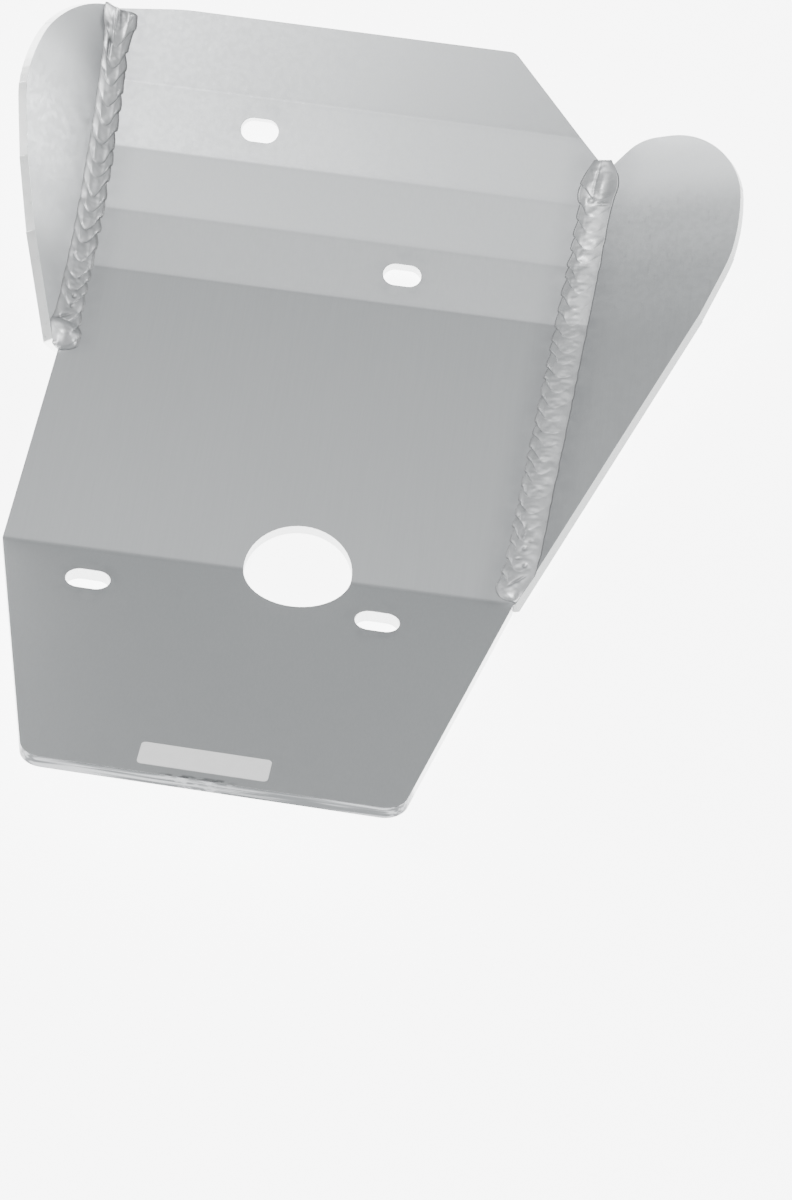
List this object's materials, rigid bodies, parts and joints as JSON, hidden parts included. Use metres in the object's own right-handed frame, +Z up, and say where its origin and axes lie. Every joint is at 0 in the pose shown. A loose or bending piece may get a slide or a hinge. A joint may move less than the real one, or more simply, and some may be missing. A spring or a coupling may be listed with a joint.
{
  "type": "motorcycle skid plate",
  "caption": "Folded aluminium skid plate for a motorcycle's underside, with welded side wings, bolt slots and an oil drain hole.",
  "frame": {"origin": "middle of the belly panel's underside, at half the panel's length and half the width of the rear bend", "axes": "X across the plate, +X on the side of the long wing seen from the inner face with the front up; +Y towards the upturned front; +Z up, from the underside to the inner face"},
  "size_m": [0.2859, 0.3473, 0.0561],
  "materials": {
    "sheet": "satin mill finish",
    "weld": "rippled weld bead",
    "label": "matte, without print"
  },
  "bodies": {
    "root": {"main_plate": "sheet", "left_wing": "sheet", "right_wing": "sheet", "left_weld": "weld", "right_weld": "weld", "label": "label"}
  },
  "joints": []
}
